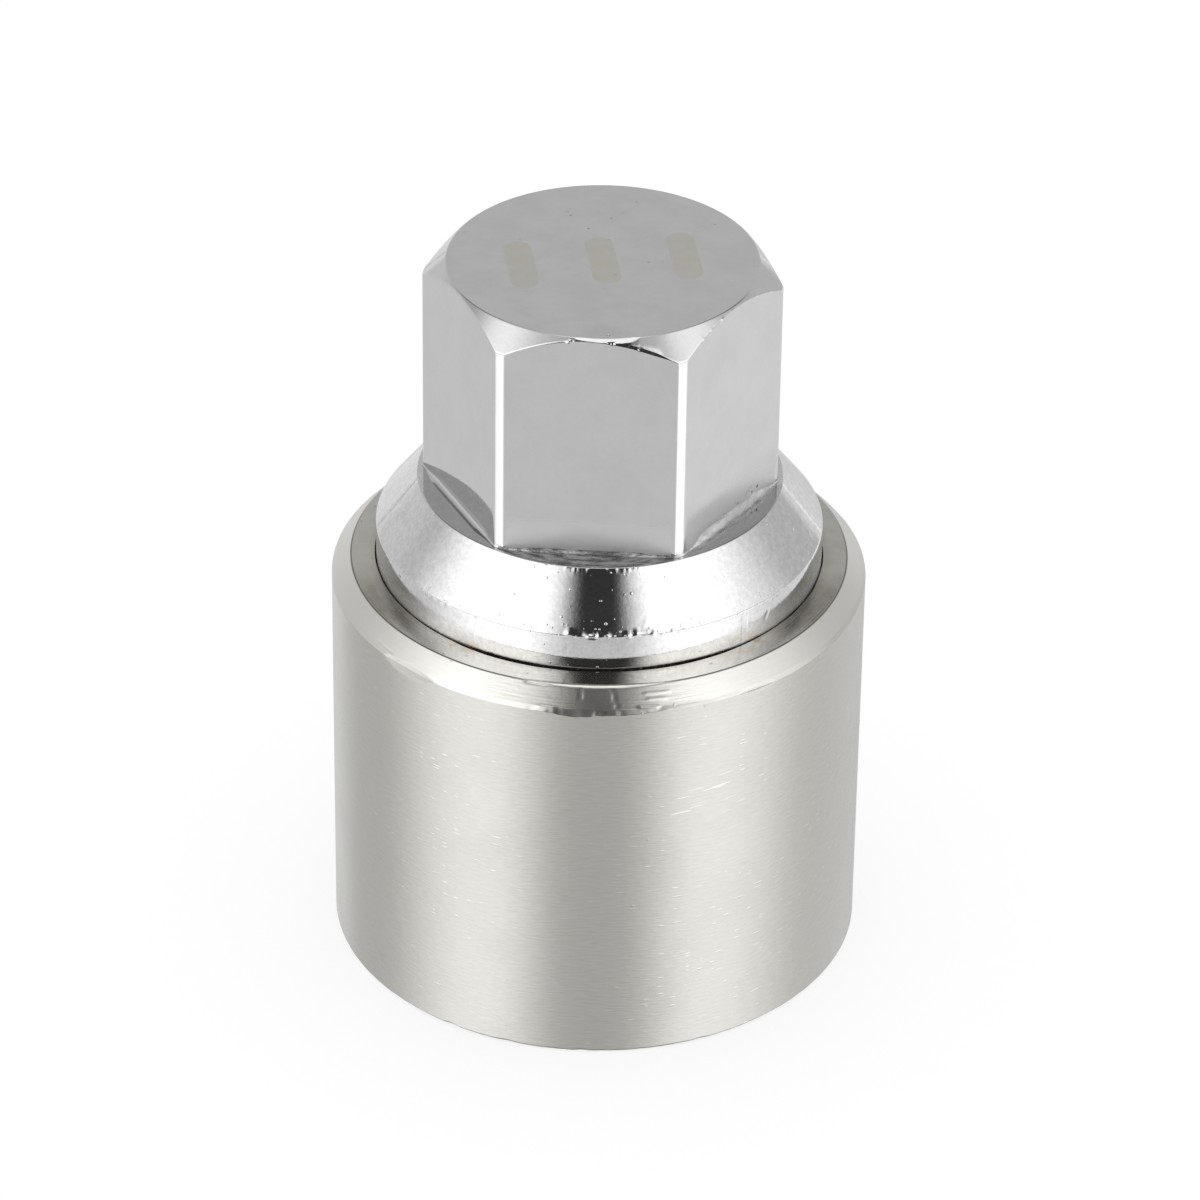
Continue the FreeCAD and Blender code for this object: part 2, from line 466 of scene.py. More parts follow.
def scratched(grid, scratches, closed):
    """Moves the grid along its normals: each scratch is (start, end, width, depth)."""
    along = np.roll(grid, -1, 1) - np.roll(grid, 1, 1)
    up = np.empty_like(grid)
    up[1:-1] = grid[2:] - grid[:-2]
    up[0] = grid[1] - (grid[-1] if closed else grid[0])
    up[-1] = (grid[0] if closed else grid[-1]) - grid[-2]
    normal = np.cross(along, up)
    normal /= np.maximum(np.linalg.norm(normal, axis=-1, keepdims=True), 1e-12)
    shift = np.zeros(grid.shape[:2])
    for start, end, width, depth in scratches:
        line = end - start
        f = np.clip((grid - start) @ line / max(line @ line, 1e-9), 0, 1)
        away = np.linalg.norm(grid - start - f[..., None] * line, axis=-1)
        shift -= depth * np.exp(-(away / width) ** 2)
    return grid + normal * shift[..., None]


def knocked(grid, edge_point, knocks):
    """Cuts the grid back to planes, which leaves flats along one edge."""
    for turn, facing, tilt, depth in knocks:
        angle, rise = math.radians(FRONT + facing), math.radians(tilt)
        level_part = math.cos(rise)
        normal = np.array([math.cos(angle) * level_part, math.sin(angle) * level_part, math.sin(rise)])
        limit = normal @ edge_point(turn) - depth
        grid = grid - np.maximum(grid @ normal - limit, 0)[..., None] * normal
    return grid


def skin(name, corners, materials, material_of, wear, closed=False):
    """A mesh object skinned over the rows, with its marks of wear worked in."""
    rows, where = profile_rows(corners, closed)
    poles = not closed
    ring = rows[1:-1] if poles else rows
    where = where[1:-1] if poles else where
    row_count, columns = ring.shape[:2]
    grid = np.stack([ring[..., 0] * np.cos(ANGLES), ring[..., 0] * np.sin(ANGLES), ring[..., 1]], -1)
    verts = wear(grid).reshape(-1, 3)
    faces, slots = [], []
    for low in range(row_count if closed else row_count - 1):
        high = (low + 1) % row_count
        place = max(where[low], where[high]) if high else where[low]
        for j in range(columns):
            after = (j + 1) % columns
            below = (low * columns + j, low * columns + after)
            faces.append(below + (high * columns + after, high * columns + j))
            slots.append(material_of(place, TURNS[j]))
    if poles:
        bottom, top = len(verts), len(verts) + 1
        ends = np.array([[0, 0, rows[0, 0, 1]], [0, 0, rows[-1, 0, 1]]])
        verts = np.concatenate([verts, ends])
        last_row = (row_count - 1) * columns
        for j in range(columns):
            after = (j + 1) % columns
            faces.append((bottom, after, j))
            slots.append(material_of(0.5, TURNS[j]))
            faces.append((top, last_row + j, last_row + after))
            slots.append(material_of(len(corners) - 1.5, TURNS[j]))
    mesh = bpy.data.meshes.new(name)
    mesh.from_pydata((verts * MM).tolist(), [], faces)
    mesh.polygons.foreach_set("material_index", slots)
    mesh.polygons.foreach_set("use_smooth", [True] * len(faces))
    for material in materials:
        mesh.materials.append(material)
    mesh.update()
    piece = bpy.data.objects.new(name, mesh)
    bpy.context.scene.collection.objects.link(piece)
    return piece


# Node helpers

def new_material(name):
    """A material with an empty node tree."""
    material = bpy.data.materials.new(name)
    material.use_nodes = True
    tree = material.node_tree
    tree.nodes.clear()
    return material, tree


def node(tree, kind, inputs=None, **props):
    """A node with its properties set and its inputs linked or given values."""
    made = tree.nodes.new(kind)
    for key, value in props.items():
        setattr(made, key, value)
    for key, value in (inputs or {}).items():
        if isinstance(value, bpy.types.NodeSocket):
            tree.links.new(value, made.inputs[key])
        else:
            made.inputs[key].default_value = value
    return made


def math_node(tree, operation, *values):
    """The result of a math node."""
    return node(tree, "ShaderNodeMath", dict(enumerate(values)), operation=operation).outputs[0]


def plus(tree, *values):
    """The sum of all values."""
    return functools.reduce(functools.partial(math_node, tree, "ADD"), values)


def times(tree, *values):
    """The product of all values."""
    return functools.reduce(functools.partial(math_node, tree, "MULTIPLY"), values)


def ramp(tree, value, low, high, to_low=0.0, to_high=1.0):
    """A smooth step from one value to another."""
    inputs = {"Value": value, "From Min": low, "From Max": high, "To Min": to_low, "To Max": to_high}
    return node(tree, "ShaderNodeMapRange", inputs, interpolation_type="SMOOTHSTEP").outputs["Result"]


def noise(tree, vector, scale, detail=2.0, rough=0.5):
    """Cloudy noise."""
    inputs = {"Vector": vector, "Scale": scale, "Detail": detail, "Roughness": rough}
    return node(tree, "ShaderNodeTexNoise", inputs).outputs["Fac"]


def stretched(tree, vector, scale):
    """A vector with each axis scaled."""
    return node(tree, "ShaderNodeMapping", {"Vector": vector, "Scale": scale}).outputs["Vector"]


def spots(tree, vector, scale, size, share):
    """Round spots on a share of the cells of a random pattern, some strong and some faint."""
    cells = node(tree, "ShaderNodeTexVoronoi", {"Vector": vector, "Scale": scale})
    chance = node(tree, "ShaderNodeSeparateColor", {"Color": cells.outputs["Color"]}).outputs[0]
    dot = ramp(tree, cells.outputs["Distance"], size / 3, size, 1.0, 0.0)
    return times(tree, dot, ramp(tree, chance, 0.0, share, 1.0, 0.0))


def band_of(tree, value, limits):
    """A soft-edged band of levels, in millimetres."""
    low, low_full, high_full, high = (limit * MM for limit in limits)
    return times(tree, ramp(tree, value, low, low_full), ramp(tree, value, high_full, high, 1.0, 0.0))


def turn_ramp(tree, angle, low, high, to_low=0.0, to_high=1.0):
    """A smooth step between two angles, in degrees."""
    return ramp(tree, angle, math.radians(low), math.radians(high), to_low, to_high)


def band(tree, angle, low, low_full, high_full, high):
    """A soft-edged band of angles, in degrees."""
    rise = turn_ramp(tree, angle, low, low_full)
    return times(tree, rise, turn_ramp(tree, angle, high_full, high, 1.0, 0.0))


def length_of(tree, x, y):
    """The length of a vector with two parts."""
    return math_node(tree, "SQRT", plus(tree, times(tree, x, x), times(tree, y, y)))


def off_level(tree, level, middle):
    """How far a height lies above or below a level, which is in millimetres."""
    return math_node(tree, "ABSOLUTE", math_node(tree, "SUBTRACT", level, middle * MM))


def mirror_ray(tree):
    """One for rays that have come off or through a shiny surface, nought for the others."""
    path = node(tree, "ShaderNodeLightPath")
    return math_node(tree, "MAXIMUM", path.outputs["Is Glossy Ray"], path.outputs["Is Transmission Ray"])


def turned_axes(tree, vector):
    """How far a vector reaches to the camera's right and towards it."""
    axes = node(tree, "ShaderNodeSeparateXYZ", {"Vector": vector})
    x, y = axes.outputs["X"], axes.outputs["Y"]
    sin, cos = math.sin(math.radians(VIEW_AZIMUTH)), math.cos(math.radians(VIEW_AZIMUTH))
    right = plus(tree, times(tree, x, cos), times(tree, y, sin))
    ahead = plus(tree, times(tree, x, sin), times(tree, y, -cos))
    return right, ahead


def grey(tree, tone):
    """A neutral colour of one tone."""
    return node(tree, "ShaderNodeCombineColor", {"Red": tone, "Green": tone, "Blue": tone}).outputs["Color"]


def blend(tree, factor, first, second):
    """A mix of two colours."""
    inputs = {"Factor": factor, "A": first, "B": second}
    return node(tree, "ShaderNodeMix", inputs, data_type="RGBA").outputs["Result"]


def relief_normal(tree, height, depth):
    """The normal of a fine relief, with its depth in millimetres."""
    bump = node(tree, "ShaderNodeBump", {"Height": height, "Distance": depth * MM, "Strength": 1.0})
    return bump.outputs["Normal"]


def metal(tree, colour, rough, height, depth):
    """A metal surface with its relief, joined to the material's output."""
    normal = relief_normal(tree, height, depth)
    inputs = {"Base Color": colour, "Metallic": 1.0, "Roughness": rough, "Normal": normal}
    shader = node(tree, "ShaderNodeBsdfPrincipled", inputs)
    node(tree, "ShaderNodeOutputMaterial", {"Surface": shader.outputs["BSDF"]})


def chrome_material():
    """Bright chrome plate: faint orange peel, patchy gloss, specks that crowd along the collar's edges."""
    material, tree = new_material("chrome")
    place = node(tree, "ShaderNodeTexCoord").outputs["Object"]
    level = node(tree, "ShaderNodeSeparateXYZ", {"Vector": place}).outputs["Z"]
    patch = noise(tree, place, 420.0, 4.0, 0.6)
    right, ahead = turned_axes(tree, place)
    turn = math_node(tree, "ARCTAN2", right, ahead)
    aside = math_node(tree, "ABSOLUTE", turn)

    ragged = plus(tree, level, times(tree, patch, 0.8 * MM))
    dull_full, dull_end = (SHOULDER_LEVEL + rise for rise in DULL_RISE)
    foot = ramp(tree, ragged, dull_full * MM, dull_end * MM, 1.0, 0.0)
    ledge_levels = [SHOULDER_LEVEL + rise for rise in LEDGE_RISE]
    above = math_node(tree, "GREATER_THAN", level, ledge_levels[3] * MM)
    first, last = TORN_FOOT
    corner = first + 60
    front = band(tree, turn, first + LAND_CLEAR, first + LAND_FULL, corner - LAND_FULL, corner - LAND_CLEAR)
    side = band(tree, turn, corner + LAND_CLEAR, corner + LAND_FULL, last - LAND_FULL, last - LAND_CLEAR)
    dull = times(tree, foot, above, plus(tree, front, side))
    # Painted shade: a band round the shoulder's ledge, at the foot of the side flats, is darkened
    ledge_shade = times(tree, band_of(tree, level, ledge_levels), side)
    low_full, low_end = (SLEEVE_TOP + rise for rise in LOW_BAND_RISE)
    low = ramp(tree, level, low_full * MM, low_end * MM, 1.0, 0.0)
    low_band = times(tree, low, turn_ramp(tree, aside, 22, 40))

    rim = off_level(tree, level, RIM_LEVEL + 0.1)
    edge = off_level(tree, level, SHOULDER_LEVEL - 0.1)
    near_edge = ramp(tree, edge, 0.1 * MM, 0.3 * MM, 1.0, 0.0)
    near_front = times(tree, near_edge, band(tree, turn, *EDGE_SPECK_TURNS))
    crowd = plus(tree, ramp(tree, rim, 0.1 * MM, 0.5 * MM, 1.0, 0.0), near_front)
    collar = ramp(tree, level, (SHOULDER_LEVEL - 0.1) * MM, (SHOULDER_LEVEL + 0.1) * MM, 1.0, 0.1)
    speckled = band(tree, turn, *FRONT_SPECK_TURNS)
    front_specks = times(tree, spots(tree, place, 2500.0, 0.22, 0.3), speckled, collar)
    mottle = times(tree, ramp(tree, noise(tree, place, 3600.0, 3.0, 0.7), 0.3, 0.7, -0.06, 0.06), collar)
    specks = plus(tree, front_specks, times(tree, spots(tree, place, 2900.0, 0.22, 0.06), collar),
                  times(tree, spots(tree, place, 4600.0, 0.3, 0.6), crowd))
    pit_first, pit_last = PITTED_FOOT
    pitted_turns = band(tree, turn, pit_first, pit_first + PITTED_EASE, pit_last - PITTED_EASE, pit_last)
    pitted_levels = band_of(tree, level, [SHOULDER_LEVEL + rise for rise in PITTED_RISE])
    pits = times(tree, spots(tree, place, 2900.0, 0.42, 0.5), times(tree, pitted_turns, pitted_levels))

    height = plus(tree, times(tree, noise(tree, place, 5200.0), 0.1), specks, times(tree, pits, -1.5))
    gloss = ramp(tree, patch, 0.35, 0.7, 0.025, 0.08)
    plate = ramp(tree, patch, 0.3, 0.75, 0.72, 0.68)
    tone = plus(tree, plate, mottle, times(tree, pits, -0.6), times(tree, ledge_shade, -0.14),
                times(tree, dull, front, -0.05), times(tree, dull, side, -0.1))
    rough = plus(tree, gloss, times(tree, dull, 0.45), times(tree, low_band, 0.3))
    metal(tree, grey(tree, tone), rough, height, CHROME_RELIEF)
    return material


def worn_material(name, dark, light, relief, rough):
    """The collar's shoulder round the head's foot, where the plate is torn or rubbed in streaks."""
    material, tree = new_material(name)
    place = node(tree, "ShaderNodeTexCoord").outputs["Object"]
    axes = node(tree, "ShaderNodeSeparateXYZ", {"Vector": place})
    x, y = axes.outputs["X"], axes.outputs["Y"]
    out = length_of(tree, x, y)
    round_it = times(tree, math_node(tree, "ARCTAN2", y, x), SHOULDER_RADIUS * MM)
    unrolled = node(tree, "ShaderNodeCombineXYZ", {"X": round_it, "Y": out, "Z": axes.outputs["Z"]})
    streaks = noise(tree, stretched(tree, unrolled.outputs["Vector"], (1.0, 5.0, 5.0)), 750.0, 5.0, 0.7)
    patch = noise(tree, place, 700.0, 3.0)
    pits = spots(tree, place, 3600.0, 0.3, 0.16)
    height = plus(tree, times(tree, streaks, relief), times(tree, pits, -0.8))
    colour = grey(tree, ramp(tree, streaks, 0.38, 0.62, dark, light))
    metal(tree, colour, ramp(tree, patch, 0.35, 0.65, rough, rough + 0.18), height, WORN_RELIEF)
    return material


def etched_face_material():
    """The head's satin top face, with three plain etched bars."""
    material, tree = new_material("chrome_face")
    spacing, width, length, blur = BAR_SPACING * MM, BAR_WIDTH * MM, BAR_LENGTH * MM, BAR_BLUR * MM
    place = node(tree, "ShaderNodeTexCoord").outputs["Object"]
    turned = node(tree, "ShaderNodeMapping", {"Vector": place, "Rotation": (0, 0, math.radians(BAR_TURN))})
    axes = node(tree, "ShaderNodeSeparateXYZ", {"Vector": turned.outputs["Vector"]})
    x, y = axes.outputs["X"], axes.outputs["Y"]
    repeat = {0: x, 1: spacing / 2, 2: -spacing / 2}
    across = node(tree, "ShaderNodeMath", repeat, operation="WRAP").outputs[0]
    over = math_node(tree, "SUBTRACT", math_node(tree, "ABSOLUTE", y), (length - width) / 2)
    reach = length_of(tree, across, math_node(tree, "MAXIMUM", over, 0.0))
    edge = plus(tree, reach, times(tree, noise(tree, place, 3000.0), 0.08 * MM))
    inside = math_node(tree, "LESS_THAN", math_node(tree, "ABSOLUTE", x), 1.5 * spacing)
    worn = ramp(tree, noise(tree, place, 1300.0, 3.0), 0.3, 0.7, 0.65, 1.0)
    mark = times(tree, ramp(tree, edge, width / 2, width / 2 + blur, 1.0, 0.0), inside, worn)

    patch = noise(tree, place, 500.0, 5.0, 0.65)
    specks = spots(tree, place, 1300.0, 0.15, 0.4)
    stains = spots(tree, place, 900.0, 0.11, 0.35)
    plate = grey(tree, plus(tree, ramp(tree, patch, 0.3, 0.7, 0.65, 0.7), times(tree, stains, -0.4)))
    grain = times(tree, noise(tree, place, 4200.0, 3.0), 0.2)
    height = plus(tree, grain, times(tree, mark, -0.5), times(tree, specks, -2.0))
    rough = ramp(tree, mark, 0.0, 1.0, 0.2, 0.32)
    metal(tree, blend(tree, mark, plate, ETCHED), rough, height, FACE_RELIEF)
    return material


def satin_material():
    """Satin nickel on the sleeve's side: fine level brushing, short scratches lifted by a painted glint, and
    small specks.
    """
    material, tree = new_material("satin_nickel_side")
    place = node(tree, "ShaderNodeTexCoord").outputs["Object"]
    axes = node(tree, "ShaderNodeSeparateXYZ", {"Vector": place})
    x, y, level = axes.outputs["X"], axes.outputs["Y"], axes.outputs["Z"]
    round_it = times(tree, math_node(tree, "ARCTAN2", y, x), SLEEVE_RADIUS * MM)
    inward = math_node(tree, "SUBTRACT", length_of(tree, x, y), SLEEVE_RADIUS * MM)
    along = plus(tree, level, inward)
    unrolled = node(tree, "ShaderNodeCombineXYZ", {"X": round_it, "Y": along}).outputs["Vector"]
    right, ahead = turned_axes(tree, place)
    turn = math_node(tree, "ARCTAN2", right, ahead)

    left_dashes = times(tree, band(tree, turn, *LEFT_DASH_TURNS), 0.6)
    bands = plus(tree, left_dashes, band(tree, turn, *RIGHT_DASH_TURNS))
    crowd = times(tree, ramp(tree, noise(tree, place, 130.0), 0.36, 0.6, 0.2, 1.0), plus(tree, bands, 0.4))
    rising = node(tree, "ShaderNodeMapping", {"Vector": unrolled, "Rotation": (0, 0, math.radians(-4))})
    rubbed = times(tree, band(tree, turn, *RUBBED_TURNS), band_of(tree, level, RUBBED_PATCH))
    swept = stretched(tree, rising.outputs["Vector"], (1.0, 12.0, 1.0))
    sweeps = times(tree, rubbed, spots(tree, swept, 480.0, 0.42, 1.0))
    long_ones = spots(tree, stretched(tree, unrolled, (1.0, 9.0, 1.0)), 800.0, 0.34, 0.08)
    short_ones = spots(tree, stretched(tree, unrolled, (1.0, 4.5, 1.0)), 1300.0, 0.32, 0.3)
    dashes = times(tree, plus(tree, long_ones, short_ones), crowd)
    scratch = plus(tree, sweeps, dashes)
    specks = spots(tree, unrolled, 1300.0, 0.12, 0.1)
    brushed = noise(tree, stretched(tree, unrolled, (1.0, 7.0, 1.0)), 1300.0, 4.0, 0.65)
    patch = noise(tree, place, 260.0, 3.0)

    height = plus(tree, times(tree, brushed, 1.1), times(tree, scratch, 0.5), specks)
    base = blend(tree, ramp(tree, brushed, 0.3, 0.7), SATIN_DARK, SATIN_LIGHT)
    # Painted glint: scratches and rubbed sweeps are lightened towards white, standing in for light off their
    # walls
    painted_glint = plus(tree, ramp(tree, dashes, 0.05, 0.75, 0.0, 0.5), ramp(tree, sweeps, 0.05, 0.6, 0.0, 0.42))
    colour = blend(tree, painted_glint, base, SCRATCH_GLINT)
    metal(tree, colour, ramp(tree, patch, 0.3, 0.7, 0.2, 0.26), height, SATIN_RELIEF)
    return material


def turned_material(name, rough_front, rough_back, stains):
    """The sleeve's turned top: fine rings from the tool, burnished at the front, stained near the joint, and
    darkened right by the joint with painted shade, most at the front.
    """
    material, tree = new_material(name)
    place = node(tree, "ShaderNodeTexCoord").outputs["Object"]
    axes = node(tree, "ShaderNodeSeparateXYZ", {"Vector": place})
    x, y = axes.outputs["X"], axes.outputs["Y"]
    out = length_of(tree, x, y)
    tool = {"W": out, "Scale": 9000.0, "Detail": 2.0}
    rings = node(tree, "ShaderNodeTexNoise", tool, noise_dimensions="1D").outputs["Fac"]
    right, ahead = turned_axes(tree, place)
    turn = math_node(tree, "ARCTAN2", right, ahead)
    aside = math_node(tree, "ABSOLUTE", turn)
    round_it = times(tree, turn, FACE_EDGE * MM)
    unrolled = node(tree, "ShaderNodeCombineXYZ", {"X": round_it, "Y": out}).outputs["Vector"]
    streaks = noise(tree, stretched(tree, unrolled, (1.0, 9.0, 1.0)), 700.0, 4.0, 0.65)
    patch = noise(tree, place, 900.0, 3.0)

    near = ramp(tree, out, (SHANK_RADIUS + 0.2) * MM, (SHANK_RADIUS + 1.1) * MM, 1.0, 0.0)
    spilled = plus(tree, band(tree, turn, *LEFT_SPILL_TURNS), band(tree, turn, *RIGHT_SPILL_TURNS), 0.12)
    stain = times(tree, ramp(tree, noise(tree, place, 700.0, 4.0, 0.6), 0.4, 0.6), near, spilled, stains)
    beside = times(tree, band(tree, aside, *TARNISH_TURNS), 0.5)
    darkest = plus(tree, beside, ramp(tree, aside, 0.8, 1.1, 0.0, 0.4))
    tarnish = times(tree, darkest, ramp(tree, patch, 0.2, 0.7, 1.0, 0.75), stains)
    deeper = times(tree, tarnish, ramp(tree, turn, 0.5, 1.0, 0.0, 0.3))
    # A dark line along the outer edge of the face, away from the front on both sides
    rim_line_band = band_of(tree, out, [FACE_EDGE + reach for reach in RIM_LINE_REACH])
    rim_line = times(tree, rim_line_band, band(tree, aside, *RIM_LINE_TURNS), 0.75)
    ragged = plus(tree, out, times(tree, patch, 0.3 * MM))
    # Painted shade: the top darkens towards the joint, most at the front, where the gap is widest
    joint_shade_strength = times(tree, turn_ramp(tree, aside, 14, 34, 0.4, 0.15), stains)
    by_joint = ramp(tree, ragged, (SHANK_RADIUS + 0.2) * MM, (SHANK_RADIUS + 0.7) * MM, 1.0, 0.0)
    painted_joint_shade = times(tree, by_joint, joint_shade_strength)
    specks = times(tree, spots(tree, place, 2400.0, 0.25, 0.1), plus(tree, spilled, 0.3))
    by_rim = band_of(tree, out, [FACE_EDGE + reach for reach in RIM_FLECK_REACH])
    rim_flecks = times(tree, by_rim, plus(tree, band(tree, turn, *RIM_FLECK_TURNS), 0.1))
    front_flecks = turn_ramp(tree, aside, 10, 26, 0.7, 0.0)
    flecks = times(tree, spots(tree, place, 2700.0, 0.34, 0.4), plus(tree, rim_flecks, front_flecks), stains)
    ticks = times(tree, spots(tree, stretched(tree, unrolled, (1.0, 2.5, 1.0)), 1200.0, 0.2, 0.12), stains)

    ring_relief = times(tree, rings, plus(tree, times(tree, tarnish, 1.2), 0.5))
    relief = plus(tree, ring_relief, times(tree, streaks, 1.2))
    height = plus(tree, relief, times(tree, noise(tree, place, 2600.0), 0.4), times(tree, specks, 3.0))
    colour = blend(tree, stain, TURNED_NICKEL, STAINED)
    colour = blend(tree, tarnish, colour, TARNISHED)
    colour = blend(tree, deeper, colour, DIRT_AND_SHADE)
    colour = blend(tree, math_node(tree, "MAXIMUM", painted_joint_shade, rim_line), colour, DIRT_AND_SHADE)
    colour = blend(tree, times(tree, ticks, 0.6), colour, TICK)
    colour = blend(tree, times(tree, flecks, 0.8), colour, FLECK)
    burnish = ramp(tree, y, -0.97 * FACE_EDGE * MM, -0.8 * FACE_EDGE * MM, rough_front, rough_back)
    metal(tree, colour, plus(tree, burnish, times(tree, patch, 0.06)), height, TURNED_RELIEF)
    return material


def joint_shade_material():
    """Painted shade down in the joint between collar and sleeve: dark, rough, mottled walls."""
    material, tree = new_material("joint_painted_shade")
    place = node(tree, "ShaderNodeTexCoord").outputs["Object"]
    shade_mottle = noise(tree, place, 3000.0, 3.0)
    # Painted shade: the joint's walls are coloured dark to stand in for the shade down in the gap
    colour = blend(tree, ramp(tree, shade_mottle, 0.45, 0.75), JOINT_SHADE_DARK, JOINT_SHADE_LIGHT)
    inputs = {"Base Color": colour, "Roughness": 0.8, "Normal": relief_normal(tree, shade_mottle, JOINT_SHADE_RELIEF)}
    shader = node(tree, "ShaderNodeBsdfPrincipled", inputs)
    node(tree, "ShaderNodeOutputMaterial", {"Surface": shader.outputs["BSDF"]})
    return material


# The key

def key_body():
    """The plated key body with its wear, in place of the solid."""
    nose_margin, joint_row, crown_row = 0.05, 0.1, 0.5
    head = head_radius()
    spigot = spigot_radius()
    nose_edge = np.minimum(spigot - nose_margin, SPIGOT_RADIUS - NOSE_CHAMFER)
    crown_level = HEAD_TOP - (head - FACE_RADIUS) * CROWN_SLOPE
    corners = [
        (0, NOSE_LEVEL, 0, 0, 2),
        (nose_edge, NOSE_LEVEL, 0.02, 1, 1),
        (spigot, NOSE_LEVEL + spigot - nose_edge, 0.03, 2, 2),
        (spigot, SEAT_LEVEL, SPIGOT_ROOT_FILLET, 4, 1),
        (SHANK_RADIUS - SHANK_END_CHAMFER, SEAT_LEVEL, 0.05, 1, 0),
        (SHANK_RADIUS, SEAT_LEVEL + SHANK_END_CHAMFER, 0.05, 1, 1),
        (SHANK_RADIUS, SLEEVE_TOP - joint_row, 0, 0, 14),
        (SHANK_RADIUS, RIM_LEVEL, RIM_ROUNDING, 6, 26),
        (SHOULDER_RADIUS, SHOULDER_LEVEL, 0.07, 4, 4),
        (head, SHOULDER_LEVEL, foot_fillet(), 6, 3),
        (head, SHOULDER_LEVEL + TORN_HEIGHT, 0, 0, 8),
        (head, SHOULDER_LEVEL + 3 * TORN_HEIGHT, 0, 0, 1),
        (head, crown_level - crown_row, 0, 0, 2),
        (head, crown_level, 0.2, 5, 3),
        (FACE_RADIUS, HEAD_TOP, 0.11, 4, 6),
        (0, HEAD_TOP, 0, 0, 0),
    ]
    shoulder_place, fillet_place, face_place = 8.5, 9, 14.5
    plain_slot, torn_slot, rubbed_slot, face_slot = range(4)

    def material_of(place, turn):
        if place >= face_place:
            return face_slot
        if place > fillet_place or not TORN_FOOT[0] < turn < TORN_FOOT[1]:
            return plain_slot
        if turn < TORN_FOOT[0] + 60:
            return torn_slot if place >= shoulder_place else plain_slot
        return rubbed_slot if place == fillet_place else plain_slot

    scratches = between(collar_point, COLLAR_SCRATCHES) + between(flat_point, FOOT_GOUGES)
    chance = random.Random(5)
    for _ in range(RIM_BEADS):
        bead = collar_point(chance.gauss(2, 8), RIM_LEVEL + chance.uniform(0.0, 0.16))
        scratches.append((bead, bead, chance.uniform(0.08, 0.13), -chance.uniform(0.025, 0.06)))
    for _ in range(COLLAR_NICKS):
        turn, level = chance.uniform(-180, 180), chance.uniform(RIM_LEVEL - 1.2, RIM_LEVEL + 0.8)
        end = collar_point(turn + chance.uniform(-2, 2), level + chance.uniform(-0.5, 0.5))
        scratches.append((collar_point(turn, level), end, 0.05, chance.uniform(0.005, 0.02)))
    for _ in range(SHOULDER_BEADS):
        bead = collar_point(chance.gauss(1, 8), SHOULDER_LEVEL - chance.uniform(0.0, 0.1))
        scratches.append((bead, bead, chance.uniform(0.04, 0.07), -chance.uniform(0.02, 0.05)))
    for _ in range(CROWN_BEADS):
        bead = crown_point(chance.uniform(36, 78))
        scratches.append((bead, bead, 0.06, -chance.uniform(0.02, 0.04)))
    for _ in range(LEFT_BEADS):
        bead = collar_point(chance.uniform(-62, -28), RIM_LEVEL + chance.uniform(-0.3, 0.3))
        scratches.append((bead, bead, chance.uniform(0.06, 0.1), -chance.uniform(0.01, 0.04)))
    for turn, size, depth in CROWN_NICKS:
        nick = crown_point(turn)
        scratches.append((nick, nick, size, depth))

    def wear(grid):
        return scratched(knocked(grid, crown_point, CROWN_KNOCKS), scratches, closed=False)

    torn = worn_material("chrome_torn", 0.22, 0.72, 2.5, 0.12)
    rubbed = worn_material("chrome_rubbed", 0.6, 0.8, 1.0, 0.22)
    materials = [chrome_material(), torn, rubbed, etched_face_material()]
    piece = skin("key_body_plated", corners, materials, material_of, wear)
    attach(piece, "root")
    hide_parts("key_body")


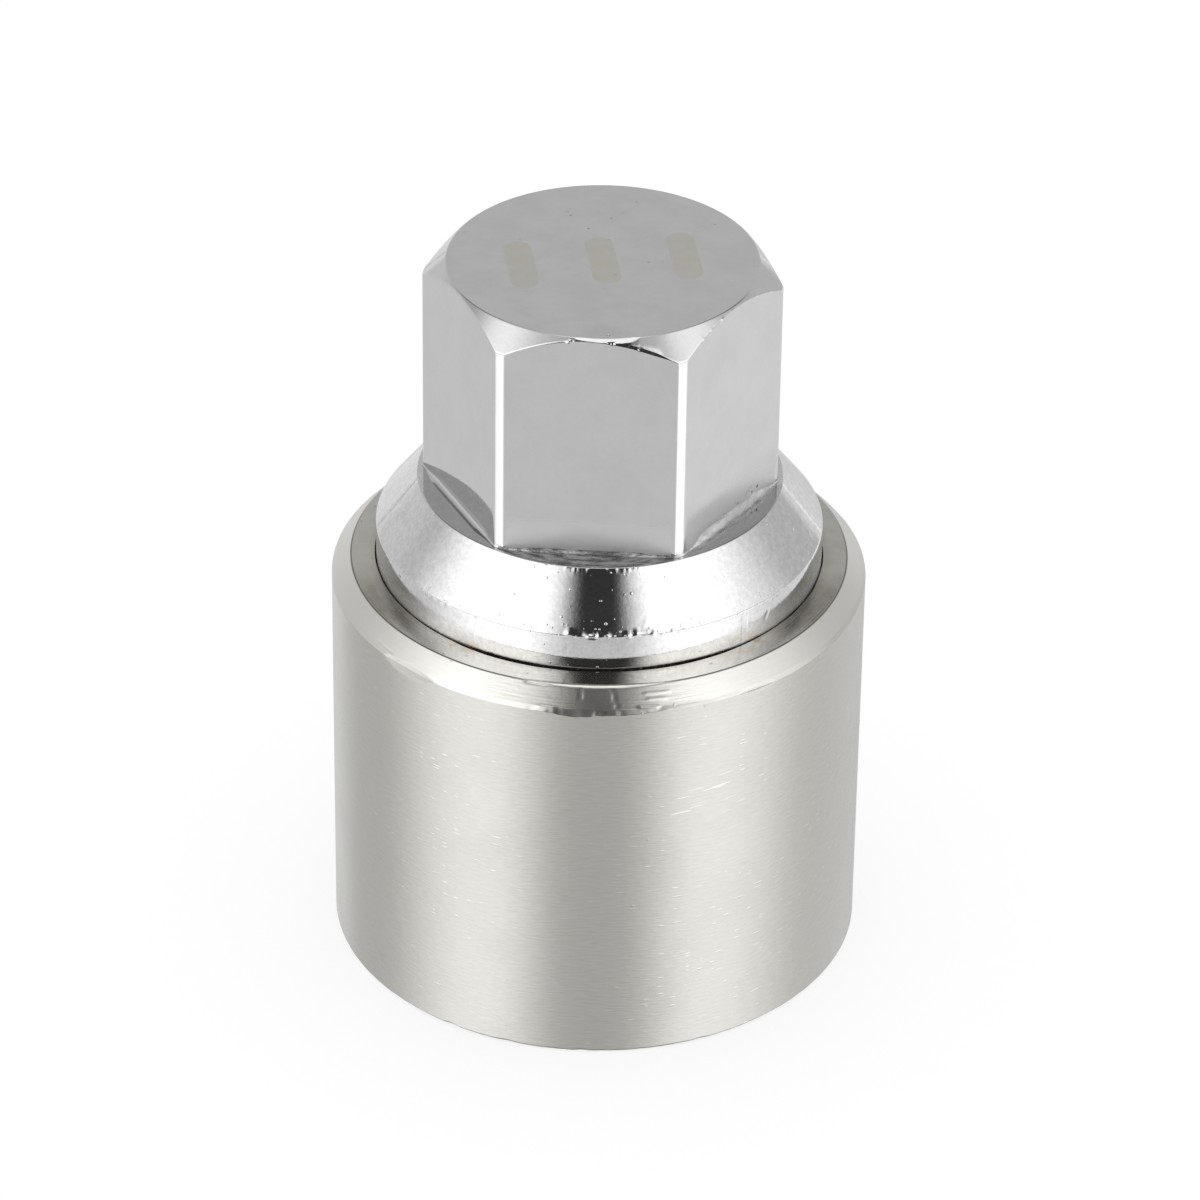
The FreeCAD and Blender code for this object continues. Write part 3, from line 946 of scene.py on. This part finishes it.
def outer_sleeve():
    """The plated sleeve with its wear, in place of the solid."""
    below_burr = 1.2
    torn = np.exp(-(TURNS / TORN_BURR_REACH) ** 4)
    sag = -SAG_DEPTH * np.exp(-((TURNS - SAG_TURN) / SAG_REACH) ** 2)
    rags = (wander(12, 72, 0.09) + wander(15, 360, 0.04)) * torn
    burr_level = CHAMFER_LEVEL + wander(11, 24, 0.04) + rags + sag
    foot_break = FOOT_BREAK + wander(14, 240, 0.015)
    for turn, reach, size in FOOT_CHIPS:
        foot_break += size * np.exp(-((TURNS - turn) / reach) ** 2)
    gap = JOINT_GAP + (FRONT_GAP - JOINT_GAP) * np.exp(-(TURNS / FRONT_GAP_REACH) ** 4)
    burr_top = CHAMFER_LEVEL + BURR_WIDTH * (FACE_LEVEL - CHAMFER_LEVEL) / (SLEEVE_RADIUS - FACE_EDGE)
    corners = [
        (SLEEVE_RADIUS, foot_break, 0.03, 2, 8),
        (SLEEVE_RADIUS, CHAMFER_LEVEL - below_burr, 0, 0, 12),
        (SLEEVE_RADIUS, burr_level, 0.03 + 0.03 * torn, 3, 2),
        (SLEEVE_RADIUS - BURR_WIDTH, burr_top, 0, 0, 16),
        (FACE_EDGE, FACE_LEVEL, 0.16 + 0.34 * torn, 6, 10),
        (SHANK_RADIUS + gap + wander(13, 90, 0.02), SLEEVE_TOP, 0.04, 3, 3),
        (SHANK_RADIUS + JOINT_GAP / 2, SLEEVE_TOP - JOINT_DEPTH, 0, 0, 0),
        (SHANK_RADIUS, SLEEVE_TOP - JOINT_DEPTH, 0, 0, 2),
        (SHANK_RADIUS, SEAT_LEVEL, 0.02, 1, 1),
        (MOUTH_RADIUS, SEAT_LEVEL, 0.02, 1, 4),
        (MOUTH_RADIUS, MOUTH_CHAMFER, 0.05, 2, 1),
        (MOUTH_RADIUS + MOUTH_CHAMFER, 0, 0.05, 2, 2),
        (SLEEVE_RADIUS - foot_break, 0, 0.05, 2, 1),
    ]
    chamfer_place, ring_place, joint_place, bore_place = 2, 4, 5, 7
    side_slot, chamfer_slot, face_slot, joint_slot = range(4)

    def material_of(place, turn):
        if place > bore_place or place <= chamfer_place:
            return side_slot
        if place <= ring_place:
            return chamfer_slot
        return face_slot if place <= joint_place else joint_slot

    def wear(grid):
        grid = scratched(grid, between(chamfer_point, CHAMFER_SCRATCHES), closed=True)
        return knocked(grid, lambda turn: chamfer_point(turn, CHAMFER_LEVEL), SLEEVE_KNOCKS)

    chamfer = turned_material("satin_nickel_chamfer", 0.2, 0.34, 0.0)
    face = turned_material("satin_nickel_face", 0.07, 0.12, 1.0)
    materials = [satin_material(), chamfer, face, joint_shade_material()]
    piece = skin("outer_sleeve_plated", corners, materials, material_of, wear, closed=True)
    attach(piece, "root")
    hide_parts("outer_sleeve")


# Studio

def studio_light(tree):
    """Brightness by direction: grey walls, a soft box on each side, a dark gap, the pale table below."""
    direction = node(tree, "ShaderNodeTexCoord").outputs["Generated"]
    right, ahead = turned_axes(tree, direction)
    upward = node(tree, "ShaderNodeSeparateXYZ", {"Vector": direction}).outputs["Z"]
    height = math_node(tree, "ARCSINE", upward)
    azimuth = math_node(tree, "ARCTAN2", right, ahead)
    aside = math_node(tree, "ABSOLUTE", azimuth)
    off_centre = math_node(tree, "ABSOLUTE", right)

    left_wall = times(tree, band(tree, height, *LEFT_WALL_HEIGHTS), ramp(tree, right, -0.8, -0.2, 0.14, 0.0))
    side_walls = times(tree, band(tree, aside, *SIDE_WALL_TURNS), band(tree, height, *SIDE_WALL_HEIGHTS))
    corner_turns = band(tree, aside, *BACK_CORNER_TURNS)
    back_corners = times(tree, corner_turns, band(tree, height, *BACK_CORNER_HEIGHTS))
    wall = plus(tree, left_wall, times(tree, side_walls, -0.1), times(tree, back_corners, -0.42), WALL_LEVEL)

    inset = turn_ramp(tree, height, 18, 40, 0.12, 0.0)
    from_gap = math_node(tree, "SUBTRACT", off_centre, inset)
    gap = times(tree, ramp(tree, from_gap, 0.1, 0.34, GAP_DARKNESS, 0.0), ramp(tree, ahead, 0.0, 0.2),
                band(tree, height, *GAP_HEIGHTS))
    lean = turn_ramp(tree, height, 45, 62, 0.0, -0.2)
    right_side = math_node(tree, "SUBTRACT", plus(tree, right, lean), inset)
    right_box = times(tree, ramp(tree, right_side, 0.14, 0.46), band(tree, azimuth, *RIGHT_BOX_TURNS),
                      band(tree, height, *RIGHT_BOX_HEIGHTS))
    left_side = plus(tree, right, inset)
    left_box = times(tree, ramp(tree, left_side, -0.46, -0.14, 1.0, 0.0),
                     band(tree, azimuth, *LEFT_BOX_TURNS), band(tree, height, *LEFT_BOX_HEIGHTS))
    boxes = plus(tree, left_box, right_box)
    top = turn_ramp(tree, height, 68, 80, 0.0, TOP_LEVEL)
    shaded = times(tree, wall, math_node(tree, "SUBTRACT", 1.0, gap), math_node(tree, "SUBTRACT", 1.0, boxes))
    upper = plus(tree, shaded, times(tree, boxes, BOX_LEVEL), top)

    fall = times(tree, turn_ramp(tree, aside, 56, 108), ramp(tree, right, -0.3, 0.3, 0.98, 0.83))
    sheen = times(tree, ramp(tree, off_centre, 0.16, 0.6), math_node(tree, "SUBTRACT", 1.0, fall))
    contact = plus(tree, turn_ramp(tree, height, -80, -45, 0.6, 1.0),
                   times(tree, band(tree, height, *CONTACT_HEIGHTS), -0.65))
    far_left = times(tree, band(tree, azimuth, *FAR_LEFT_TURNS), 0.16)
    table = times(tree, plus(tree, times(tree, sheen, TABLE_SHEEN), far_left, TABLE_LEVEL), contact)
    behind = turn_ramp(tree, aside, 95, 110)
    edge_tone = ramp(tree, right, -0.3, 0.3, -0.3, 0.35)
    table_edge = times(tree, band(tree, height, *TABLE_EDGE_HEIGHTS), behind, edge_tone)
    strip_turns = band(tree, azimuth, *FAR_STRIP_TURNS)
    far_strip = times(tree, strip_turns, band(tree, height, *FAR_STRIP_HEIGHTS), 0.6)
    share = turn_ramp(tree, height, -2.5, 1.5)
    level = node(tree, "ShaderNodeMix", {"Factor": share, "A": table, "B": upper}).outputs["Result"]
    return plus(tree, level, table_edge, far_strip)


def floor_and_world():
    """A white floor and world, and the painted studio that only the shiny surfaces see."""
    world = bpy.data.worlds.new("studio")
    bpy.context.scene.world = world
    world.use_nodes = True
    tree = world.node_tree
    tree.nodes.clear()
    white = node(tree, "ShaderNodeBackground", {"Color": WHITE, "Strength": 1.0})
    studio = node(tree, "ShaderNodeBackground", {"Color": WHITE, "Strength": studio_light(tree)})
    shown = {0: mirror_ray(tree), 1: white.outputs["Background"], 2: studio.outputs["Background"]}
    both = node(tree, "ShaderNodeMixShader", shown)
    node(tree, "ShaderNodeOutputWorld", {"Surface": both.outputs["Shader"]})

    bpy.ops.mesh.primitive_circle_add(
        vertices=FLOOR_SIDES, radius=FLOOR_RADIUS, fill_type="NGON", location=(0, 0, 0))
    floor = bpy.context.object
    floor.name = "floor"
    material, tree = new_material("floor_white")
    diffuse = node(tree, "ShaderNodeBsdfDiffuse", {"Color": FLOOR_GREY})
    glow = node(tree, "ShaderNodeEmission", {"Color": WHITE, "Strength": FLOOR_GLOW})
    pale = node(tree, "ShaderNodeAddShader", {0: diffuse.outputs["BSDF"], 1: glow.outputs["Emission"]})
    clear = node(tree, "ShaderNodeBsdfTransparent")
    shown = {0: mirror_ray(tree), 1: pale.outputs["Shader"], 2: clear.outputs["BSDF"]}
    both = node(tree, "ShaderNodeMixShader", shown)
    node(tree, "ShaderNodeOutputMaterial", {"Surface": both.outputs["Shader"]})
    floor.data.materials.append(material)
    floor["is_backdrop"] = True


def camera():
    """The photograph's camera."""
    scene = bpy.context.scene
    turn, lift = math.radians(VIEW_AZIMUTH), math.radians(VIEW_ELEVATION)
    back = Vector((math.sin(turn) * math.cos(lift), -math.cos(turn) * math.cos(lift), math.sin(lift)))
    right = Vector((math.cos(turn), math.sin(turn), 0))
    up = back.cross(right)
    target = Matrix.Rotation(turn, 3, "Z") @ Vector(VIEW_TARGET)
    data = bpy.data.cameras.new("camera")
    data.sensor_width = SENSOR
    data.lens = SENSOR * FOCAL_PIXELS / FRAME_PIXELS
    data.clip_start, data.clip_end = CLIP_RANGE
    item = bpy.data.objects.new("camera", data)
    scene.collection.objects.link(item)
    axes = Matrix((right, up, back)).transposed() @ Matrix.Rotation(math.radians(VIEW_ROLL), 3, "Z")
    item.matrix_world = Matrix.Translation((target + back * VIEW_DISTANCE) * MM) @ axes.to_4x4()
    scene.camera = item


key_body()
outer_sleeve()
floor_and_world()
camera()
bpy.context.scene.view_settings.view_transform = "Standard"

boxes = {"cad": cad_box, "visual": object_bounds()}
{name: [[float(v) for v in corner] for corner in box] for name, box in boxes.items()}
